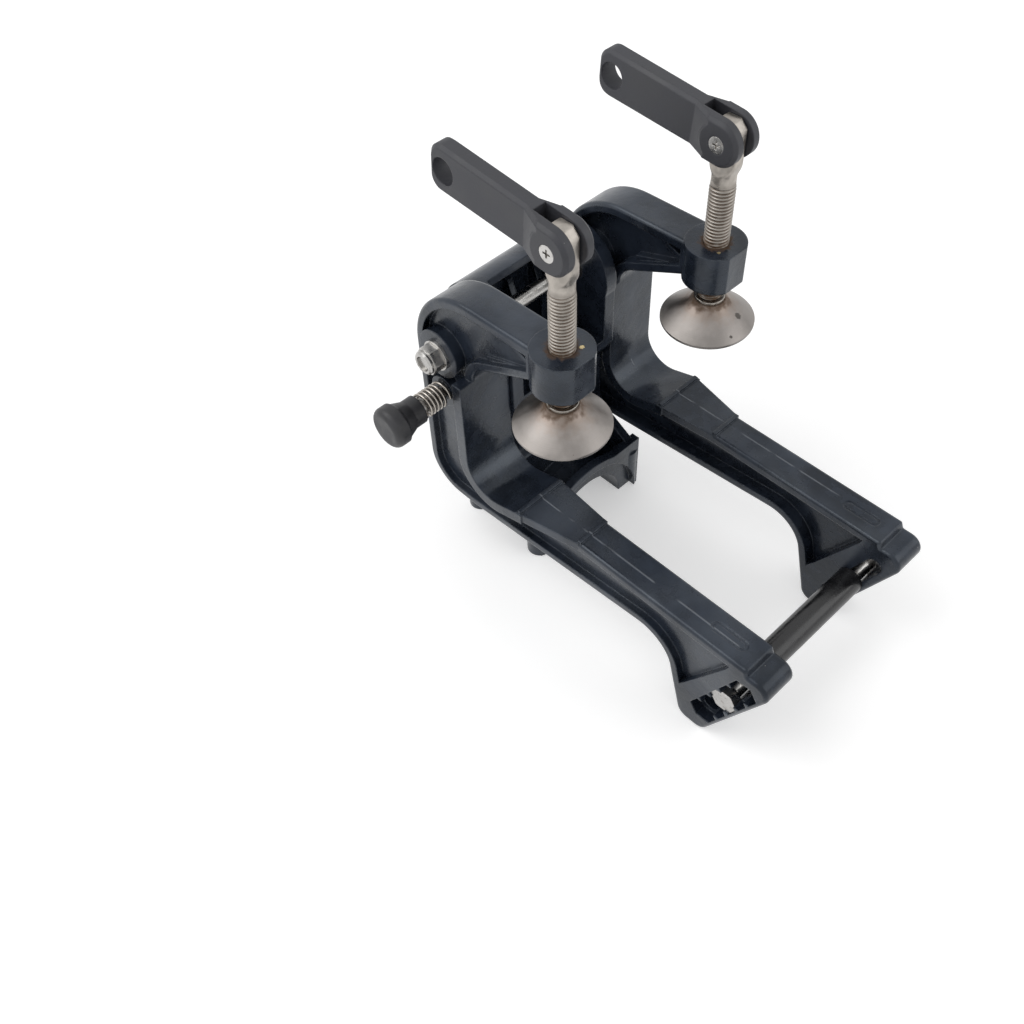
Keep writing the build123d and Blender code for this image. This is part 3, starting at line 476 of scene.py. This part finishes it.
class SteelSettings(bpy.types.PropertyGroup):
    """Sizes and colours of the screws, pads and fasteners."""

    pitch: bpy.props.FloatProperty(
        name="Thread pitch", description="Rise of the clamp screw's thread in one turn",
        default=1.75 * MM, min=0.5 * MM, max=4 * MM, unit="LENGTH")
    depth: bpy.props.FloatProperty(
        name="Thread depth", description="From the thread's crest to its root",
        default=0.95 * MM, min=0.1 * MM, max=2 * MM, unit="LENGTH")
    screw: bpy.props.FloatVectorProperty(
        name="Screw steel", description="Worn stainless steel of the clamp screws",
        default=(0.4, 0.37, 0.335), subtype="COLOR", size=3, min=0, max=1)
    pad: bpy.props.FloatVectorProperty(
        name="Pad steel", description="Pale stainless steel of the clamp pads",
        default=(0.27, 0.25, 0.235), subtype="COLOR", size=3, min=0, max=1)
    bright: bpy.props.FloatVectorProperty(
        name="Fastener steel", description="Bright plating of nuts, bolts and washers",
        default=(0.46, 0.45, 0.435), subtype="COLOR", size=3, min=0, max=1)
    rust: bpy.props.FloatVectorProperty(
        name="Rust", description="Brown stain in threads and round necks",
        default=(0.105, 0.055, 0.024), subtype="COLOR", size=3, min=0, max=1)
    brass: bpy.props.FloatVectorProperty(
        name="Nipple brass", description="Dull brass of the grease nipple",
        default=(0.5, 0.4, 0.22), subtype="COLOR", size=3, min=0, max=1)


class StageSettings(bpy.types.PropertyGroup):
    """Floor, light and camera."""

    floor: bpy.props.FloatVectorProperty(
        name="Floor", description="Pale floor under the bracket",
        default=(0.86, 0.86, 0.86), subtype="COLOR", size=3, min=0, max=1)
    light: bpy.props.FloatProperty(
        name="Room light", description="Strength of the even light from all round",
        default=0.62, min=0, max=2)
    key: bpy.props.FloatProperty(
        name="Key lamp", description="Power of the large soft lamp overhead",
        default=6.0, min=0, max=100, unit="POWER")
    lens: bpy.props.FloatProperty(
        name="Focal length", description="Focal length of the camera on a 36 mm wide sensor",
        default=39.68, min=10, max=200)


# Clamp screws

def screw_ring(height, pitch, depth, around):
    """One ring of the clamp screw's surface at a height: spigot, thread, shank or eye."""
    run_out = smooth_step(THREAD_HIGH, THREAD_HIGH - 3 * MM, height)
    cut = smooth_step(THREAD_LOW, THREAD_LOW + MM, height) * run_out
    flat = smooth_step(EYE_LOW, EYE_FLAT_LOW, height)
    half_x = SHANK_R + (EYE_HALF_X - SHANK_R) * flat
    half_x -= max(0.0, height - (EYE_TOP - EYE_CHAMFER))
    half_y = SHANK_R + (EYE_HALF_Y - SHANK_R) * flat
    power = 2.0 / (2.0 + 7.0 * flat)
    ring = []
    for i in range(around):
        turn = 2 * math.pi * i / around
        across, deep = math.cos(turn), math.sin(turn)
        if height < THREAD_LOW:
            x, y = SPIGOT_R * across, SPIGOT_R * deep
        elif height < THREAD_HIGH:
            phase = height / pitch - turn / (2 * math.pi)
            groove = (0.5 + 0.5 * math.cos(2 * math.pi * phase)) ** 1.3
            radius = THREAD_R - depth * groove * cut - 0.35 * MM * (1 - cut)
            x, y = radius * across, radius * deep
        else:
            x = half_x * math.copysign(abs(across) ** power, across)
            y = half_y * math.copysign(abs(deep) ** power, deep)
        ring.append((x, y, height))
    return ring


def make_clamp_screw(side, sign, pitch, depth):
    """Threaded clamp screw with its flattened eye."""
    rings_a_turn = 9
    neck_rings = 10
    heights = [SPIGOT_LOW, THREAD_LOW - 0.1 * MM]
    height = THREAD_LOW
    while height < THREAD_HIGH:
        heights.append(height)
        height += pitch / rings_a_turn
    heights += [THREAD_HIGH + 0.01 * MM, THREAD_HIGH + 2 * MM]
    heights += [EYE_LOW + (EYE_FLAT_LOW - EYE_LOW) * i / neck_rings for i in range(neck_rings + 1)]
    heights += [EYE_TOP - drop * MM for drop in (13.5, 7.5, 3.5, 2.0, 0.5, 0.0)]
    rings = [screw_ring(height, pitch, depth, 64) for height in heights]
    rings = [[(x + SCREW_X, y + sign * SCREW_Y, z) for x, y, z in ring] for ring in rings]
    points, faces = ring_stack(rings)
    return add_mesh(f"threaded_screw_{side}", points, faces, math.radians(50))


class BRACKET_OT_clamp_screws(bpy.types.Operator):
    """Cut the thread of both clamp screws and flatten their eyes"""

    bl_idname = "bracket.clamp_screws"
    bl_label = "Clamp Screws"

    def execute(self, context):
        steel = context.scene.bracket_steel
        material = screw_steel(steel.screw, shade(steel.rust, 1.0))
        for side, sign in SIDES:
            screw = make_clamp_screw(side, sign, steel.pitch, steel.depth)
            screw.data.materials.append(material)
            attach(screw, f"screw_{side}")
            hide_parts(f"clamp_screw_{side}")
        return {"FINISHED"}


# Clamp pads

def pad_profile():
    """Half section of a clamp pad, outside from the face's recess to the neck, in metres."""
    rim_r = 22.9
    neck_r = 8.4
    rim_z = 135.3
    cone_rings = 24
    face = [(0.2, 134.8), (9, 134.8), (11, 133.6), (21.9, 133.6), (22.6, 133.75), (rim_r, 134.3)]
    cone = []
    for i in range(cone_rings + 1):
        part = i / cone_rings
        rise = 9.2 * part + 1.9 * part ** 5 + 0.9 * math.sin(math.pi * part)
        cone.append((rim_r + (neck_r - rim_r) * part, rim_z + rise))
    neck = [(8.15, 146.9), (8.0, 147.4), (7.6, 147.6), (4.56, 147.6)]
    return [(r * MM, z * MM) for r, z in face + cone + neck]


class BRACKET_OT_clamp_pads(bpy.types.Operator):
    """Turn both clamp pads and finish their neck rings"""

    bl_idname = "bracket.clamp_pads"
    bl_label = "Clamp Pads"

    def execute(self, context):
        steel = context.scene.bracket_steel
        material = pad_steel(steel.pad, shade(steel.rust, 1.0))
        for side, sign in SIDES:
            centre = (SCREW_X, sign * SCREW_Y)
            pad = lathe(f"turned_pad_{side}", pad_profile(), centre, 128, math.radians(40))
            pad.data.materials.append(material)
            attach(pad, f"pad_{side}")
            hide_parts(f"clamp_pad_{side}")
        ring = bright_steel("ring_steel", shade(steel.screw, 0.8)[:3], 0.9)
        wear_finish(ring, *both("neck_ring"))
        return {"FINISHED"}


# Handles

class BRACKET_OT_handles(bpy.types.Operator):
    """Finish the folding handles and their pivot screws"""

    bl_idname = "bracket.handles"
    bl_label = "Handles"

    def execute(self, context):
        wear_finish(handle_plastic(context.scene.bracket_paint.plastic), *both("handle"))
        steel = context.scene.bracket_steel
        pivots = bright_steel("pivot_steel", shade(steel.bright, 1.15)[:3], 0.35)
        wear_finish(pivots, *both("pivot_screw"), *both("pivot_nut"))
        return {"FINISHED"}


# Castings

class BRACKET_OT_castings(bpy.types.Operator):
    """Paint the two clamp castings and the swivel casting"""

    bl_idname = "bracket.castings"
    bl_label = "Castings"

    def execute(self, context):
        paint = context.scene.bracket_paint
        rust = shade(context.scene.bracket_steel.rust, 1.0)
        material = casting_paint(paint.paint, rust, paint.wear_and_highlight)
        wear_finish(material, *both("clamp_bracket"), "swivel_bracket")
        return {"FINISHED"}


# Tilt bolt, thrust rod and small fittings

class BRACKET_OT_fasteners(bpy.types.Operator):
    """Finish the tilt bolt, thrust rod, bushes and grease nipple"""

    bl_idname = "bracket.fasteners"
    bl_label = "Bolts and Tube"

    def execute(self, context):
        steel = context.scene.bracket_steel
        paint = context.scene.bracket_paint
        bright = bright_steel("fastener_steel", steel.bright, 0.3)
        wear_finish(bright, "tilt_bolt", "tilt_nut", "tilt_washers", "thrust_bolt", "thrust_nut")
        wear_finish(hard_plastic("tube_paint", paint.tube, 0.16, 0.4 * MM), "thrust_tube")
        wear_finish(bright_steel("nipple_brass", steel.brass, 0.5), "grease_nipple")
        wear_finish(hard_plastic("bush_plastic", paint.knob, 0.45, 0.3 * MM), *both("tilt_bush"))
        return {"FINISHED"}


# Lock plunger

def make_lock_spring():
    """Round wire coil with closed end turns, between the casting's boss and the knob."""
    low = -61.8 * MM
    high = -77.2 * MM
    radius = 5.9 * MM
    wire = 0.8 * MM
    turns = 6.0
    end_share = 0.14
    steps = 260
    around = 12
    along = Vector((0, -1, 0))
    rings = []
    for i in range(steps + 1):
        part = i / steps
        first_end = smooth_step(0.0, end_share, part)
        last_end = smooth_step(1.0 - end_share, 1.0, part)
        travel = (1.0 - end_share) * part + end_share * 0.5 * (first_end + last_end)
        turn = 2 * math.pi * turns * part
        out = Vector((math.cos(turn), 0, math.sin(turn)))
        centre = Vector((LOCK_X, low + (high - low) * travel, LOCK_Z)) + out * radius
        ring = []
        for j in range(around):
            spin = 2 * math.pi * j / around
            ring.append(centre + out * (wire * math.cos(spin)) + along * (wire * math.sin(spin)))
        rings.append(ring)
    points, faces = ring_stack(rings)
    return add_mesh("coil_spring", points, faces, math.radians(60))


class BRACKET_OT_lock_plunger(bpy.types.Operator):
    """Wind the lock spring and finish the knob, pin and clip"""

    bl_idname = "bracket.lock_plunger"
    bl_label = "Lock Plunger"

    def execute(self, context):
        steel = context.scene.bracket_steel
        spring = make_lock_spring()
        spring.data.materials.append(bright_steel("spring_steel", shade(steel.screw, 1.0)[:3], 0.55))
        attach(spring, "clamp_frame")
        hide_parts("lock_spring")
        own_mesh(spring)
        knob = context.scene.bracket_paint.knob
        wear_finish(hard_plastic("knob_plastic", knob, 0.4, 0.8 * MM), "lock_knob")
        wear_finish(bright_steel("pin_steel", steel.bright, 0.4), "lock_pin", "lock_clip")
        return {"FINISHED"}


# Stage

def make_floor(colour):
    """Pale floor under the bracket, white to the camera away from its shadow."""
    half = 3.0
    level = -0.2 * MM
    corners = ((-half, -half), (half, -half), (half, half), (-half, half))
    floor = add_mesh("floor", [(x, y, level) for x, y in corners], [(0, 1, 2, 3)])
    f = Finish("floor_paper")
    f.finish(shade(colour, 1.0), 0.9, 0.0, f.bump(f.noise(30 * MM, 2.0), 0.01 * MM))
    f.shader.inputs["Specular IOR Level"].default_value = 0.1
    rays = f.tree.nodes.new("ShaderNodeLightPath")
    seen = f.calc("MAXIMUM", rays.outputs["Is Camera Ray"], rays.outputs["Is Glossy Ray"])
    seen = f.calc("MAXIMUM", seen, rays.outputs["Is Transmission Ray"])
    f.shader.inputs["Emission Color"].default_value = (1, 1, 1, 1)
    f.put(f.shader.inputs["Emission Strength"], f.calc("MULTIPLY", seen, 0.38))
    floor.data.materials.append(f.material)


def light_room(strength):
    """White background, and even light at a lower strength."""
    world = bpy.data.worlds.new("room")
    bpy.context.scene.world = world
    world.use_nodes = True
    tree = world.node_tree
    tree.nodes.clear()
    rays = tree.nodes.new("ShaderNodeLightPath")
    seen = rays.outputs["Is Camera Ray"]
    for ray in ("Is Glossy Ray", "Is Transmission Ray"):
        either = tree.nodes.new("ShaderNodeMath")
        either.operation = "MAXIMUM"
        tree.links.new(seen, either.inputs[0])
        tree.links.new(rays.outputs[ray], either.inputs[1])
        seen = either.outputs[0]
    level = tree.nodes.new("ShaderNodeMix")
    level.data_type = "FLOAT"
    tree.links.new(seen, level.inputs[0])
    level.inputs[2].default_value = strength
    level.inputs[3].default_value = 1.0
    background = tree.nodes.new("ShaderNodeBackground")
    background.inputs["Color"].default_value = (1, 1, 1, 1)
    tree.links.new(level.outputs[0], background.inputs["Strength"])
    output = tree.nodes.new("ShaderNodeOutputWorld")
    tree.links.new(background.outputs[0], output.inputs["Surface"])


def add_lamp(name, place, target, size, power):
    """A square soft lamp that faces a point."""
    lamp = bpy.data.lights.new(name, "AREA")
    lamp.shape = "SQUARE"
    lamp.size = size
    lamp.energy = power
    holder = bpy.data.objects.new(name, lamp)
    holder.location = place
    holder.rotation_euler = (Vector(target) - Vector(place)).to_track_quat("-Z", "Y").to_euler()
    bpy.context.scene.collection.objects.link(holder)


def add_camera(lens):
    """Camera at the photo's angle: in front of the screws, on the left, looking down."""
    azimuth = math.radians(CAMERA_AZIMUTH)
    elevation = math.radians(CAMERA_ELEVATION)
    roll = math.radians(CAMERA_ROLL)
    flat = math.cos(elevation)
    back = Vector((math.sin(azimuth) * flat, -math.cos(azimuth) * flat, math.sin(elevation)))
    right = (-back).cross(Vector((0, 0, 1))).normalized()
    up = right.cross(-back)
    right_rolled = math.cos(roll) * right + math.sin(roll) * up
    up_rolled = -math.sin(roll) * right + math.cos(roll) * up
    data = bpy.data.cameras.new("camera")
    data.lens = lens
    data.sensor_width = 36
    data.clip_start = 0.01
    camera = bpy.data.objects.new("camera", data)
    turn = Matrix((right_rolled, up_rolled, back)).transposed().to_4x4()
    camera.matrix_world = Matrix.Translation(CAMERA_PLACE) @ turn
    bpy.context.scene.collection.objects.link(camera)
    bpy.context.scene.camera = camera


class BRACKET_OT_stage(bpy.types.Operator):
    """Lay the floor, light the room and set the camera"""

    bl_idname = "bracket.stage"
    bl_label = "Stage"

    def execute(self, context):
        stage = context.scene.bracket_stage
        context.scene.view_settings.view_transform = "Standard"
        make_floor(stage.floor)
        light_room(stage.light)
        bracket_middle = (0.06, 0, 0.1)
        add_lamp("key", (-0.5, -0.6, 1.1), bracket_middle, 0.9, stage.key)
        add_lamp("fill", (0.9, 0.5, 0.7), bracket_middle, 0.8, stage.key * 0.35)
        add_camera(stage.lens)
        return {"FINISHED"}


# Panel and registering

class BRACKET_PT_panel(bpy.types.Panel):
    """Settings and steps of the bracket's looks"""

    bl_idname = "BRACKET_PT_panel"
    bl_label = "Motor Bracket"
    bl_space_type = "VIEW_3D"
    bl_region_type = "UI"
    bl_category = "Bracket"

    def draw(self, context):
        column = self.layout.column()
        for group in ("bracket_paint", "bracket_steel", "bracket_stage"):
            settings = getattr(context.scene, group)
            for name in settings.bl_rna.properties.keys():
                if name not in ("rna_type", "name"):
                    column.prop(settings, name)
        for step in STEPS:
            column.operator(step.bl_idname)


GROUPS = (
    ("bracket_paint", PaintSettings),
    ("bracket_steel", SteelSettings),
    ("bracket_stage", StageSettings),
)
STEPS = (
    BRACKET_OT_castings,
    BRACKET_OT_clamp_screws,
    BRACKET_OT_clamp_pads,
    BRACKET_OT_handles,
    BRACKET_OT_fasteners,
    BRACKET_OT_lock_plunger,
    BRACKET_OT_stage,
)


def register():
    """Adds the settings, the steps and the panel."""
    for name, group in GROUPS:
        bpy.utils.register_class(group)
        setattr(bpy.types.Scene, name, bpy.props.PointerProperty(type=group))
    for step in STEPS:
        bpy.utils.register_class(step)
    bpy.utils.register_class(BRACKET_PT_panel)


def unregister():
    """Takes them away again."""
    bpy.utils.unregister_class(BRACKET_PT_panel)
    for step in reversed(STEPS):
        bpy.utils.unregister_class(step)
    for name, group in reversed(GROUPS):
        delattr(bpy.types.Scene, name)
        bpy.utils.unregister_class(group)


def main():
    """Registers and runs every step."""
    register()
    for step in STEPS:
        group, action = step.bl_idname.split(".")
        getattr(getattr(bpy.ops, group), action)()


if __name__ == "__main__":
    main()
